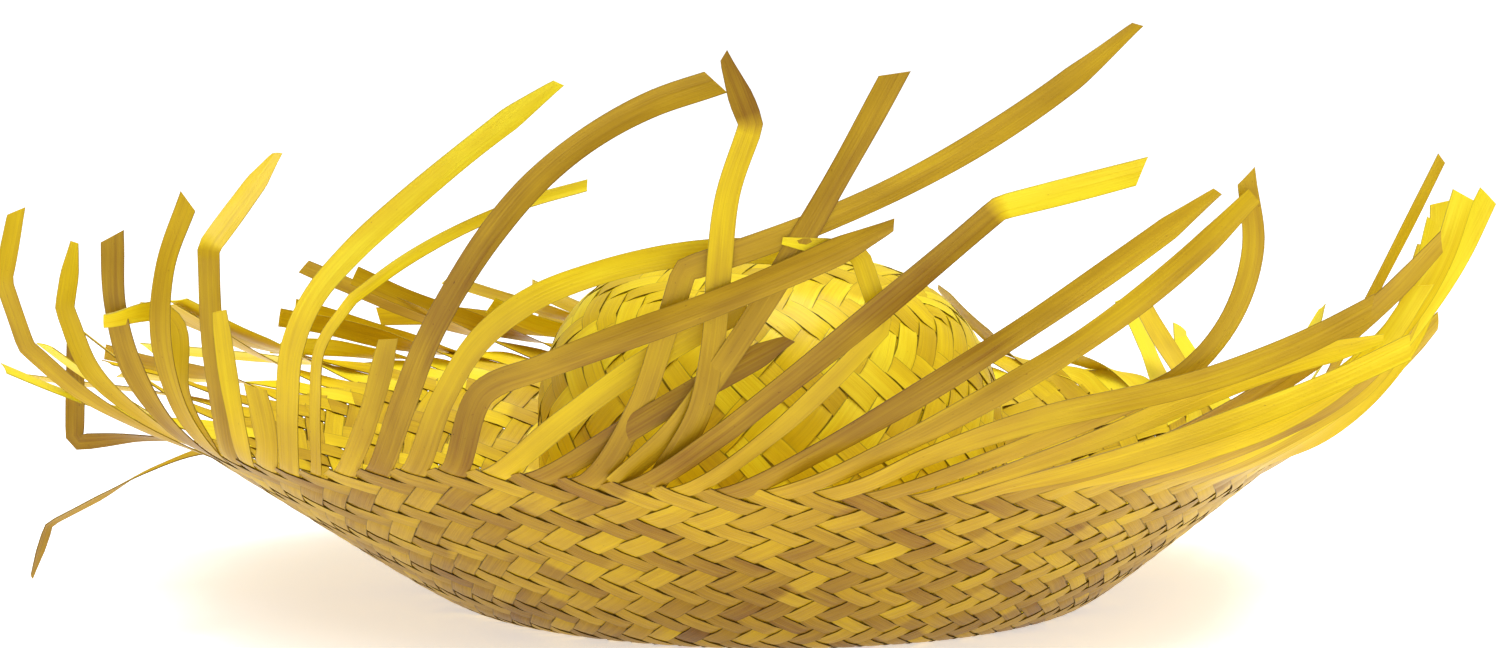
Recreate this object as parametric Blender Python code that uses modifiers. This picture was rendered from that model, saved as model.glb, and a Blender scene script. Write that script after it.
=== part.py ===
"""A plaited palm-straw hat: a domed crown, a wide brim curled up like a bowl, and at its rim
a last plaited row whose straw strips are left long and loose.

Metres, +Z up. The hat rests on the flat ring round its head opening, at z = 0, and the origin
is on the floor under the middle of its overall box. The front is towards -Y.
"""

import math
import random

import bmesh
import bpy
import numpy as np
from mathutils import Quaternion, Vector

# Walls and clearances
WALL = 0.002
GAP = 0.0003

# Where the hat stands, so that the origin is under the middle of its box with the loose strips
HEAD_X = 0.0184
RIM_X = 0.0054
HAT_Y = -0.0250

# Head opening and crown
HEAD_RADIUS = 0.0905
CROWN_TOP = 0.137
CROWN_BULGE = 0.0015
SHOULDER_HEIGHT = 0.040
CROWN_ROUNDNESS = 3.0
TOP_LEAN = -0.006
TOP_SQUARENESS = 0.0028
DENT_DEPTH = 0.004
DENT_RISE = 0.21
BULGE_REACH = 0.71
CROWN_STEPS = 48
DOME_ROWS = 9

# Brim
FLAT_RADIUS = 0.122
RIM_RADIUS = 0.222
RIM_HEIGHT = 0.072
FOOT_ROUNDING = 0.011
BRIM_STEPS = 80
BRIM_ROWS = 6
ROW_CROWDING = 1.25

# Rim row and loose strips
BAND_HEIGHT = 0.012
STRIPS_ROUND = 80
FIRST_STRIP_BEARING = -0.6
STRIP_WIDTH = 0.0084
STRIP_THICKNESS = 0.0010
PLAIT_ANGLE = 31.0
LOOSE_LENGTH = 0.200
ROOT_LENGTH = 0.011
RUN_LENGTH = 0.025
LEAST_RUNS = 3
SEED = 11

# Straw colours, roughness and shading
STRAW_CROWN = (0.83, 0.62, 0.04, 1.0)
STRAW_BRIM = (0.66, 0.46, 0.04, 1.0)
STRAW_LOOSE = (0.60, 0.42, 0.05, 1.0)
STRAW_ROUGHNESS = 0.45
SHARP_ANGLE = 40.0

# The rim round the hat, by bearing: 0 is the right side, 90 the back, 270 the front.
# rise is a share of RIM_HEIGHT, reach a share of RIM_RADIUS.
RIM = (
    # bearing, rise, reach
    (0, 0.80, 0.965),
    (45, 0.93, 1.000),
    (90, 1.02, 1.010),
    (135, 1.00, 1.000),
    (180, 0.87, 0.985),
    (215, 1.00, 1.000),
    (245, 1.13, 1.010),
    (270, 1.07, 1.010),
    (300, 0.98, 0.990),
    (330, 0.88, 0.970),
)

# Soft dents and swellings of the crown: depth is a share of DENT_DEPTH, height a share of
# CROWN_TOP, spread is in degrees round the crown. A minus depth swells outwards. Each fades
# over DENT_RISE of the crown's height.
DENTS = (
    # bearing, height, spread, depth
    (262, 0.62, 30, 0.8),
    (318, 0.78, 26, 1.0),
    (200, 0.72, 28, -0.9),
    (20, 0.70, 30, -0.7),
    (120, 0.66, 34, 0.9),
)

# The loose strips that show their own shape. place counts strips round the rim, length is a
# share of LOOSE_LENGTH and width of STRIP_WIDTH. turn is the heading against the rim's own
# line, plus leaning inwards, and climb the slope, both in degrees at the start, the middle and
# the tip. roll twists the strip by its middle. From kink_at on, kink_by is added to the climb.
STRIPS = (
    # place, length, width, turn, climb, turn, climb, turn, climb, roll, kink_at, kink_by
    (40, 0.50, 0.9, -86, 4, -88, -6, -88, -8, 90, 0.55, 98),
    (41, 0.44, 0.7, -90, -30, -86, -28, -84, -24, 60, 0.74, -46),
    (42, 0.52, 0.9, -78, 24, -80, 52, -68, 116, 70, 1.0, 0),
    (43, 0.67, 0.8, -74, 18, -78, 42, -74, 117, 70, 1.0, 0),
    (44, 0.50, 1.0, -62, 26, -60, 66, -50, 96, 50, 1.0, 0),
    (44.5, 0.42, 0.9, -60, 50, -66, 84, -80, 86, 40, 0.66, -86),
    (45, 0.53, 0.9, -62, 36, -64, 86, -62, 126, 40, 1.0, 0),
    (46, 0.66, 1.0, -45, 72, -55, 88, -60, 84, 30, 0.66, 56),
    (47, 0.30, 0.8, -35, 50, -60, 76, -50, 78, 30, 1.0, 0),
    (48, 0.16, 1.0, -25, 60, -50, 66, -66, 70, 20, 1.0, 0),
    (49, 0.94, 1.0, -62, 78, 44, 43, 56, 35, 10, 1.0, 0),
    (50, 0.82, 0.5, -80, 84, 44, 36, 54, 12, -10, 1.0, 0),
    (51, 0.26, 0.9, -18, 55, -10, 62, 0, 75, 0, 1.0, 0),
    (52, 0.96, 1.05, -26, 66, 28, 54, 38, 14, -10, 1.0, 0),
    (53, 0.87, 1.0, -20, 78, 30, 22, 34, -8, -20, 1.0, 0),
    (54, 0.92, 1.1, -20, 76, 25, 72, 30, 78, -28, 0.15, -52),
    (55, 0.50, 1.0, 0, 45, 18, 34, 25, 26, -30, 1.0, 0),
    (56, 0.46, 1.0, 4, 34, 15, 30, 20, 28, -36, 1.0, 0),
    (57, 1.27, 1.0, 4, 67, 14, 78, 16, 98, -25, 0.32, -56),
    (57.5, 0.83, 1.0, 6, 50, 10, 59, 14, 62, -30, 1.0, 0),
    (58, 1.00, 1.0, 2, 37, 8, 40, 10, 42, -38, 0.75, -27),
    (58.3, 0.76, 1.0, 0, 68, 4, 89, 8, 54, -20, 0.80, 52),
    (59, 0.67, 0.8, 2, 37, 6, 46, 6, 202, -30, 1.0, 0),
    (60, 0.94, 1.0, 0, 28, 8, 32, 12, 36, -48, 1.0, 0),
    (61, 0.92, 1.0, -4, 23, 2, 31, 6, 46, -50, 1.0, 0),
    (62, 0.94, 1.0, -8, 26, -4, 10, -8, 30, -50, 1.0, 0),
    (63, 0.90, 0.9, -12, 18, -6, 25, -6, 108, -45, 1.0, 0),
    (64, 0.80, 0.9, -16, 17, -12, 23, -10, 12, -50, 1.0, 0),
    (65, 0.78, 1.0, -20, 12, -14, 18, -10, 24, -50, 1.0, 0),
    (66, 0.86, 1.0, -22, 14, -16, 30, -10, 46, -40, 1.0, 0),
    (67, 0.74, 0.9, -24, 10, -22, 22, -20, 62, -56, 1.0, 0),
    (68, 0.86, 1.0, -26, 14, -28, 32, -26, 78, -60, 1.0, 0),
    (69, 0.66, 1.0, -26, 14, -28, 26, -30, 70, -30, 1.0, 0),
    (70, 0.72, 1.0, -28, 16, -34, 36, -34, 84, -62, 1.0, 0),
    (71, 0.60, 0.9, -32, 18, -36, 32, -36, 80, -50, 1.0, 0),
    (72, 0.76, 1.0, -34, 18, -40, 46, -40, 66, -70, 1.0, 0),
    (73, 0.54, 0.9, -36, 24, -44, 42, -46, 66, -40, 1.0, 0),
    (74, 0.56, 1.0, -40, 30, -48, 44, -50, 80, -70, 1.0, 0),
    (75, 0.66, 0.9, -44, 14, -56, 54, -60, 96, -72, 1.0, 0),
    (76, 0.68, 0.5, -50, 52, -52, 60, -54, 62, -85, 1.0, 0),
    (77, 0.44, 1.0, -50, 24, -56, 38, -56, 44, -50, 1.0, 0),
    (78, 0.50, 0.8, -40, 16, -30, 26, -20, 28, -60, 1.0, 0),
)

# How the other strips lie, by bearing round the rim: length is a share of LOOSE_LENGTH.
LIE = (
    # bearing, length, turn, climb at the start, climb at the tip
    (0, 0.44, -24, 12, 14),
    (60, 0.50, -6, 11, 9),
    (120, 0.50, -8, 12, 12),
    (160, 0.50, -26, 14, 20),
    (185, 0.46, -56, 16, 40),
)
LENGTH_SPREAD = 0.022
TURN_SPREAD = 14.0
CLIMB_SPREAD = 9.0
ROLL_SPREAD = 60.0


def round_the_hat(rows, bearing, column):
    """The value of a table's column at a bearing, eased between its rows all the way round."""
    bearings = [row[0] for row in rows]
    values = [row[column] for row in rows]
    bearing = bearing % 360
    after = sum(place <= bearing for place in bearings)
    low, high = after - 1, after % len(rows)
    start = bearings[low] - (360 if low < 0 else 0)
    end = bearings[high] + (360 if high == 0 else 0)
    share = (bearing - start) / (end - start)
    eased = share * share * (3 - 2 * share)
    return values[low] + (values[high] - values[low]) * eased


def brim_point(share, bearing):
    """A point of the brim's underside: share runs from the flat ring's edge, 0, to the rim, 1."""
    angle = math.radians(bearing)
    reach = RIM_RADIUS * round_the_hat(RIM, bearing, 2)
    radius = FLAT_RADIUS + (reach - FLAT_RADIUS) * share
    start = FOOT_ROUNDING / (RIM_RADIUS - FLAT_RADIUS)
    bend = (math.hypot(share, start) - start) / (math.hypot(1, start) - start)
    height = RIM_HEIGHT * round_the_hat(RIM, bearing, 1) * max(bend, 0)
    across = HEAD_X + (RIM_X - HEAD_X) * share
    return Vector((across + radius * math.cos(angle), HAT_Y + radius * math.sin(angle), height))


def brim_frame(share, bearing):
    """The brim's point, the way round it, the way up its slope and its outward normal."""
    step = 0.01
    here = brim_point(share, bearing)
    around = (brim_point(share, bearing + step) - brim_point(share, bearing - step)).normalized()
    up = (brim_point(share + step, bearing) - brim_point(share - step, bearing)).normalized()
    return here, around, up, around.cross(up).normalized()


def slope_length():
    """The length of the brim's slope, from the flat ring's edge to the rim."""
    return math.hypot(RIM_RADIUS - FLAT_RADIUS, RIM_HEIGHT)


def finish(mesh, name, collection, colour):
    """Makes the mesh an object with its own straw material."""
    material = bpy.data.materials.new(name + "_straw")
    material.use_nodes = True
    shader = material.node_tree.nodes["Principled BSDF"]
    shader.inputs["Base Color"].default_value = colour
    shader.inputs["Roughness"].default_value = STRAW_ROUGHNESS
    shader.inputs["Metallic"].default_value = 0.0
    mesh.name = name
    mesh.materials.append(material)
    mesh.shade_smooth()
    mesh.set_sharp_from_angle(angle=math.radians(SHARP_ANGLE))
    made = bpy.data.objects.new(name, mesh)
    collection.objects.link(made)
    return made


def turned(profile, steps):
    """The open surface that a profile of (radius, height) sweeps round the Z axis."""
    line = bpy.data.meshes.new("profile")
    points = [(radius, 0, height) for radius, height in profile]
    line.from_pydata(points, [(i, i + 1) for i in range(len(points) - 1)], [])
    guide = bpy.data.objects.new("profile", line)
    bpy.context.scene.collection.objects.link(guide)
    screw = guide.modifiers.new("Turn", "SCREW")
    screw.steps = screw.render_steps = steps
    screw.use_merge_vertices = True
    screw.merge_threshold = 1e-5
    graph = bpy.context.evaluated_depsgraph_get()
    mesh = bpy.data.meshes.new_from_object(guide.evaluated_get(graph))
    bpy.data.objects.remove(guide)
    return mesh


def thicken(shell):
    """Gives an open surface its wall, on its inner side."""
    wall = shell.modifiers.new("Wall", "SOLIDIFY")
    wall.thickness = WALL
    wall.offset = -1
    wall.use_even_offset = True


def dent(bearing, height):
    """How far the crown's side lies inside its plain round form."""
    depth = 0.0
    for at, level, spread, share in DENTS:
        apart = (bearing - at + 180) % 360 - 180
        rise = (height / CROWN_TOP - level) / DENT_RISE
        depth += DENT_DEPTH * share * math.exp(-((apart / spread) ** 2) - rise**2)
    return depth


def make_crown(collection):
    """The domed crown, standing with a small gap on the brim's inner ring."""
    side = HEAD_RADIUS + WALL
    foot = WALL + GAP
    profile = []
    for row in range(DOME_ROWS + 1):
        angle = row / DOME_ROWS * math.pi / 2
        out = math.sin(angle) ** (2 / CROWN_ROUNDNESS)
        up = max(math.cos(angle), 0) ** (2 / CROWN_ROUNDNESS)
        profile.append((side * out, SHOULDER_HEIGHT + (CROWN_TOP - SHOULDER_HEIGHT) * up))
    profile += [(side, (SHOULDER_HEIGHT + foot) / 2), (side, foot)]
    mesh = turned(profile, CROWN_STEPS)
    for vertex in mesh.vertices:
        x, y, z = vertex.co
        level = (z - foot) / (CROWN_TOP - foot)
        bearing = math.degrees(math.atan2(y, x))
        radius = math.hypot(x, y)
        square = TOP_SQUARENESS * level**3 * math.cos(math.radians(4 * bearing))
        swell = CROWN_BULGE * math.sin(math.pi * min(level / BULGE_REACH, 1))
        hollow = dent(bearing, z) * min(radius / HEAD_RADIUS, 1) * math.sin(math.pi * min(level, 1))
        radius = radius + (square + swell - hollow) * radius / side
        angle = math.radians(bearing)
        vertex.co = (
            HEAD_X + TOP_LEAN * level**2 + radius * math.cos(angle),
            HAT_Y + radius * math.sin(angle),
            z,
        )
    thicken(finish(mesh, "crown", collection, STRAW_CROWN))


def bowl(shares, inner_ring):
    """A turned surface through the brim's slope at the given shares, top first."""
    span = RIM_RADIUS - FLAT_RADIUS
    profile = [(FLAT_RADIUS + span * share, 0) for share in shares]
    if inner_ring:
        profile.append((HEAD_RADIUS, 0))
    mesh = turned(profile, BRIM_STEPS)
    for vertex in mesh.vertices:
        x, y, _ = vertex.co
        bearing = math.degrees(math.atan2(y, x))
        share = (math.hypot(x, y) - FLAT_RADIUS) / span
        if share > 1e-5:
            vertex.co = brim_point(share, bearing)
        else:
            vertex.co = (x + HEAD_X, y + HAT_Y, 0)
    return mesh


def make_brim(collection):
    """The brim: flat round the head opening, then curled up nearly to the rim."""
    top = 1 - (BAND_HEIGHT + GAP) / slope_length()
    shares = [top * (1 - row / BRIM_ROWS) ** ROW_CROWDING for row in range(BRIM_ROWS + 1)]
    thicken(finish(bowl(shares, True), "brim", collection, STRAW_BRIM))


def strip_rows():
    """Every loose strip as a row like those of STRIPS: the drawn ones, then the others."""
    rows = list(STRIPS)
    drawn = {row[0] for row in STRIPS}
    chance = random.Random(SEED)
    for place in range(STRIPS_ROUND):
        if place in drawn:
            continue
        bearing = FIRST_STRIP_BEARING + place * 360 / STRIPS_ROUND
        length, turn, start, tip = (round_the_hat(LIE, bearing, column) for column in range(1, 5))
        length += chance.uniform(-LENGTH_SPREAD, LENGTH_SPREAD) / LOOSE_LENGTH
        turn += chance.uniform(-TURN_SPREAD, TURN_SPREAD)
        start += chance.uniform(-CLIMB_SPREAD, CLIMB_SPREAD)
        tip += chance.uniform(-CLIMB_SPREAD, CLIMB_SPREAD) * 2
        middle = (start + tip) / 2 + chance.uniform(-CLIMB_SPREAD, CLIMB_SPREAD)
        later = turn + chance.uniform(-TURN_SPREAD, TURN_SPREAD)
        roll = chance.uniform(-ROLL_SPREAD, ROLL_SPREAD)
        rows.append((place, length, 1.0, turn, start, turn, middle, later, tip, roll, 1.0, 0))
    return rows


def strip_sections(row):
    """The four corners of a loose strip's outline at each of its rows, from root to tip."""
    place, length, width = row[:3]
    turns, climbs = row[3:9:2], row[4:9:2]
    roll, kink_at, kink_by = row[9:]
    bearing = FIRST_STRIP_BEARING + place * 360 / STRIPS_ROUND
    root = 1 - BAND_HEIGHT / 2 / slope_length()
    point, around, up, normal = brim_frame(root, bearing)
    point = point - normal * WALL / 2
    plait = math.radians(PLAIT_ANGLE)
    along = around * math.cos(plait) + up * math.sin(plait)
    side_half = STRIP_WIDTH * width / 2
    runs = max(LEAST_RUNS, round(LOOSE_LENGTH * length / RUN_LENGTH))
    run = LOOSE_LENGTH * length / runs
    sections = []
    for step in range(runs + 2):
        share = max(step - 1, 0) / runs
        turned_normal = Quaternion(along, math.radians(roll * min(2 * share, 1))) @ normal
        side = along.cross(turned_normal).normalized() * side_half
        lift = turned_normal.normalized() * STRIP_THICKNESS / 2
        corners = ((-1, -1), (1, -1), (1, 1), (-1, 1))
        sections.append([point + side * across + lift * out for across, out in corners])
        if step == 0:
            point = point + along * ROOT_LENGTH
            continue
        middle = share + 0.5 / runs
        heading = bearing + 90 + np.interp(middle, (0, 0.5, 1), turns)
        climb = np.interp(middle, (0, 0.5, 1), climbs) + (kink_by if middle > kink_at else 0)
        flat = math.cos(math.radians(climb))
        ahead = Vector((
            flat * math.cos(math.radians(heading)),
            flat * math.sin(math.radians(heading)),
            math.sin(math.radians(climb)),
        ))
        normal = along.rotation_difference(ahead) @ normal
        along = ahead
        point = point + along * run
    return sections


def loft(sections):
    """A closed solid through a row of four-cornered outlines."""
    work = bmesh.new()
    rings = [[work.verts.new(corner) for corner in section] for section in sections]
    for low, high in zip(rings, rings[1:]):
        for side in range(4):
            after = (side + 1) % 4
            work.faces.new((low[side], low[after], high[after], high[side]))
    work.faces.new(rings[0][::-1])
    work.faces.new(rings[-1])
    bmesh.ops.recalc_face_normals(work, faces=work.faces)
    mesh = bpy.data.meshes.new("loose_strip")
    work.to_mesh(mesh)
    work.free()
    return mesh


def outer_shell(mesh):
    """Drops the slivers and fills the pockets that crossing strips leave: the largest shell stays."""
    work = bmesh.new()
    work.from_mesh(mesh)
    left = set(work.faces)
    shells = []
    while left:
        shell, reached = [], [left.pop()]
        while reached:
            face = reached.pop()
            shell.append(face)
            seams = [edge for edge in face.edges if len(edge.link_faces) == 2]
            beside = {other for edge in seams for other in edge.link_faces} & left
            left -= beside
            reached += beside
        shells.append(shell)
    shells.sort(key=len)
    for shell in shells[:-1]:
        bmesh.ops.delete(work, geom=shell, context="FACES")
    work.to_mesh(mesh)
    work.free()


def make_fringe(collection, tools):
    """The last plaited row at the rim, with the loose strips fused to it."""
    start = 1 - BAND_HEIGHT / slope_length()
    band = bpy.data.objects.new("rim_row", bowl([1, start], False))
    band.hide_render = True
    band.display_type = "WIRE"
    tools.objects.link(band)
    thicken(band)
    strips = bpy.data.collections.new("loose_strips")
    tools.children.link(strips)
    for row in strip_rows():
        strip = bpy.data.objects.new("loose_strip", loft(strip_sections(row)))
        strip.hide_render = True
        strip.display_type = "WIRE"
        strips.objects.link(strip)
    join = band.modifiers.new("Loose strips", "BOOLEAN")
    join.operation = "UNION"
    join.solver = "MANIFOLD"
    join.operand_type = "COLLECTION"
    join.collection = strips
    graph = bpy.context.evaluated_depsgraph_get()
    fused = bpy.data.meshes.new_from_object(band.evaluated_get(graph))
    outer_shell(fused)
    finish(fused, "fringe", collection, STRAW_LOOSE)


def main():
    for old in list(bpy.data.objects):
        bpy.data.objects.remove(old)
    hat = bpy.data.collections.new("straw_hat")
    tools = bpy.data.collections.new("tools")
    bpy.context.scene.collection.children.link(hat)
    bpy.context.scene.collection.children.link(tools)
    make_crown(hat)
    make_brim(hat)
    make_fringe(hat, tools)


main()
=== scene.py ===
"""A plaited palm-straw hat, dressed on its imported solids.

The crown and the brim are plaited over two, under two, from straw strips that lean both ways.
The strips of one lean run on past the rim and stand out long and loose. Metres, +Z up, the
front towards -Y, bearings in degrees from the hat's right side, +X, towards its back, +Y.
"""

import logging
import math
import random
from dataclasses import dataclass, field, replace
from enum import Enum
from functools import partial

import bpy
import numpy as np
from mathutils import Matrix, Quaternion, Vector


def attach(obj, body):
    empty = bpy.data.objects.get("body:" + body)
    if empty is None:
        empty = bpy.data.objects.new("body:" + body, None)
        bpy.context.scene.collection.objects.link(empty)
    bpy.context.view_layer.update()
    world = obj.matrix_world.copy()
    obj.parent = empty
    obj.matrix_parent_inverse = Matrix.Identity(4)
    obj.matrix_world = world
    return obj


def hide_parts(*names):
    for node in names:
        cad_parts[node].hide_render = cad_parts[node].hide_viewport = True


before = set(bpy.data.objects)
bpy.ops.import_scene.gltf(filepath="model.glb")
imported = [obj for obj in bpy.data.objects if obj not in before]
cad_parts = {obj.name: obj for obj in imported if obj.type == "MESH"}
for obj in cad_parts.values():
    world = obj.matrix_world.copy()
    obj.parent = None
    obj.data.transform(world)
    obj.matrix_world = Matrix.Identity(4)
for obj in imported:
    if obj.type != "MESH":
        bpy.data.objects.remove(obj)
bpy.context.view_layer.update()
log = logging.getLogger("straw_hat")

# The rim round the hat: rise is a share of the rim's height, reach a share of its radius.
RIM = (
    # bearing, rise, reach
    (0, 0.80, 0.965),
    (45, 0.93, 1.000),
    (90, 1.02, 1.010),
    (135, 1.00, 1.000),
    (180, 0.87, 0.985),
    (215, 1.00, 1.000),
    (245, 1.13, 1.010),
    (270, 1.07, 1.010),
    (300, 0.98, 0.990),
    (330, 0.88, 0.970),
)

# Soft dents and swellings of the crown: depth is a share of the deepest, height a share of the
# crown's, spread is in degrees round the crown. A minus depth swells outwards.
DENTS = (
    # bearing, height, spread, depth
    (262, 0.62, 30, 0.8),
    (318, 0.78, 26, 1.0),
    (200, 0.72, 28, -0.9),
    (20, 0.70, 30, -0.7),
    (120, 0.66, 34, 0.9),
)

# The loose strips that show their own shape. place counts strips round the rim, length and
# width are shares of the usual ones. turn is the heading against the rim's own line, plus
# leaning inwards, and climb the slope, both in degrees at the start, the middle and the tip.
# roll twists the strip by its middle. From kink_at on, kink_by is added to the climb. The tones
# at the root, the middle and the tip run from 0, brown, over olive, to 1, bright yellow. Beside
# the straw's own colour they hold painted light and shade: stretches facing the light are
# painted brighter, and stretches in shade browner.
STRIPS = (
    # place, length, width, turn, climb, turn, climb, turn, climb, roll, kink_at, kink_by, tones
    (40, 0.50, 0.9, -86, 4, -88, -6, -88, -8, 90, 0.55, 98, 0.30, 0.30, 0.28),
    (41, 0.44, 0.7, -90, -30, -86, -28, -84, -24, 60, 0.74, -46, 0.40, 0.42, 0.38),
    (42, 0.52, 0.9, -78, 24, -80, 52, -68, 116, 70, 1.0, 0, 0.50, 0.62, 0.85),
    (43, 0.67, 0.8, -74, 18, -78, 42, -74, 117, 70, 1.0, 0, 0.42, 0.50, 0.66),
    (44, 0.50, 1.0, -62, 26, -60, 66, -50, 96, 50, 1.0, 0, 0.36, 0.34, 0.42),
    (44.5, 0.42, 0.9, -60, 50, -66, 84, -80, 86, 40, 0.66, -86, 0.55, 0.80, 0.90),
    (45, 0.53, 0.9, -62, 36, -64, 86, -62, 126, 40, 1.0, 0, 0.45, 0.50, 0.58),
    (46, 0.66, 1.0, -45, 72, -55, 88, -60, 84, 30, 0.66, 56, 0.42, 0.50, 0.80),
    (47, 0.30, 0.8, -35, 50, -60, 76, -50, 78, 30, 1.0, 0, 0.50, 0.70, 0.85),
    (48, 0.16, 1.0, -25, 60, -50, 66, -66, 70, 20, 1.0, 0, 0.50, 0.60, 0.66),
    (49, 0.94, 1.0, -62, 78, 44, 43, 56, 35, 10, 1.0, 0, 0.50, 0.86, 0.98),
    (50, 0.82, 0.5, -80, 84, 44, 36, 54, 12, -10, 1.0, 0, 0.46, 0.80, 0.92),
    (51, 0.26, 0.9, -18, 55, -10, 62, 0, 75, 0, 1.0, 0, 0.46, 0.50, 0.55),
    (52, 0.96, 1.05, -26, 66, 28, 54, 38, 14, -10, 1.0, 0, 0.34, 0.30, 0.46),
    (53, 0.87, 1.0, -20, 78, 30, 22, 34, -8, -20, 1.0, 0, 0.42, 0.72, 0.90),
    (54, 0.92, 1.1, -20, 76, 25, 72, 30, 78, -28, 0.15, -52, 0.30, 0.36, 0.40),
    (55, 0.50, 1.0, 0, 45, 18, 34, 25, 26, -30, 1.0, 0, 0.62, 0.70, 0.70),
    (56, 0.46, 1.0, 4, 34, 15, 30, 20, 28, -36, 1.0, 0, 0.26, 0.24, 0.28),
    (57, 1.27, 1.0, 4, 67, 14, 78, 16, 98, -25, 0.32, -56, 0.34, 0.52, 0.46),
    (57.5, 0.83, 1.0, 6, 50, 10, 59, 14, 62, -30, 1.0, 0, 0.50, 0.40, 0.36),
    (58, 1.00, 1.0, 2, 37, 8, 40, 10, 42, -38, 0.75, -27, 0.26, 0.32, 0.95),
    (58.3, 0.76, 1.0, 0, 68, 4, 89, 8, 54, -20, 0.80, 52, 0.30, 0.80, 0.26),
    (59, 0.67, 0.8, 2, 37, 6, 46, 6, 202, -30, 1.0, 0, 0.44, 0.60, 0.92),
    (60, 0.94, 1.0, 0, 28, 8, 32, 12, 36, -48, 1.0, 0, 0.28, 0.30, 0.60),
    (61, 0.92, 1.0, -4, 23, 2, 31, 6, 46, -50, 1.0, 0, 0.44, 0.44, 0.60),
    (62, 0.94, 1.0, -8, 26, -4, 10, -8, 30, -50, 1.0, 0, 0.46, 0.56, 0.50),
    (63, 0.90, 0.9, -12, 18, -6, 25, -6, 108, -45, 1.0, 0, 0.34, 0.46, 0.58),
    (64, 0.80, 0.9, -16, 17, -12, 23, -10, 12, -50, 1.0, 0, 0.36, 0.62, 0.84),
    (65, 0.78, 1.0, -20, 12, -14, 18, -10, 24, -50, 1.0, 0, 0.44, 0.66, 0.90),
    (66, 0.86, 1.0, -22, 14, -16, 30, -10, 46, -40, 1.0, 0, 0.36, 0.44, 0.52),
    (67, 0.74, 0.9, -24, 10, -22, 22, -20, 62, -56, 1.0, 0, 0.50, 0.78, 0.86),
    (68, 0.86, 1.0, -26, 14, -28, 32, -26, 78, -60, 1.0, 0, 0.50, 0.86, 0.95),
    (69, 0.66, 1.0, -26, 14, -28, 26, -30, 70, -30, 1.0, 0, 0.36, 0.40, 0.55),
    (70, 0.72, 1.0, -28, 16, -34, 36, -34, 84, -62, 1.0, 0, 0.52, 0.84, 0.95),
    (71, 0.60, 0.9, -32, 18, -36, 32, -36, 80, -50, 1.0, 0, 0.44, 0.60, 0.80),
    (72, 0.76, 1.0, -34, 18, -40, 46, -40, 66, -70, 1.0, 0, 0.55, 0.88, 0.97),
    (73, 0.54, 0.9, -36, 24, -44, 42, -46, 66, -40, 1.0, 0, 0.36, 0.46, 0.60),
    (74, 0.56, 1.0, -40, 30, -48, 44, -50, 80, -70, 1.0, 0, 0.50, 0.70, 0.88),
    (75, 0.66, 0.9, -44, 14, -56, 54, -60, 96, -72, 1.0, 0, 0.55, 0.80, 0.90),
    (76, 0.68, 0.5, -50, 52, -52, 60, -54, 62, -85, 1.0, 0, 0.50, 0.58, 0.66),
    (77, 0.44, 1.0, -50, 24, -56, 38, -56, 44, -50, 1.0, 0, 0.40, 0.50, 0.60),
    (78, 0.50, 0.8, -40, 16, -30, 26, -20, 28, -60, 1.0, 0, 0.50, 0.75, 0.85),
)

# How the other strips lie: length is a share of the usual loose length.
LIE = (
    # bearing, length, turn, climb at the start, climb at the tip
    (0, 0.44, -24, 12, 14),
    (60, 0.50, -6, 11, 9),
    (120, 0.50, -8, 12, 12),
    (160, 0.50, -26, 14, 20),
    (185, 0.46, -56, 16, 40),
)


class Lean(Enum):
    """The way a plaited strip leans as it runs outwards from the top of the crown."""

    RIGHTWARD = 1
    LEFTWARD = -1


def eased(share: float) -> float:
    """Turns a share from 0 to 1 into one with a soft start and end."""
    return share * share * (3 - 2 * share)


def round_the_hat(rows: tuple, bearing: float, column: int) -> float:
    """Reads a table's column at a bearing, eased between its rows all the way round.

    Args:
        rows: The table, with bearings in its first column.
        bearing: The bearing in degrees.
        column: The column to read.

    Returns:
        The eased value.
    """
    bearings = [row[0] for row in rows]
    values = [row[column] for row in rows]
    bearing = bearing % 360
    after = sum(place <= bearing for place in bearings)
    low, high = after - 1, after % len(rows)
    start = bearings[low] - (360 if low < 0 else 0)
    end = bearings[high] + (360 if high == 0 else 0)
    share = (bearing - start) / (end - start)
    return values[low] + (values[high] - values[low]) * eased(share)


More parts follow.
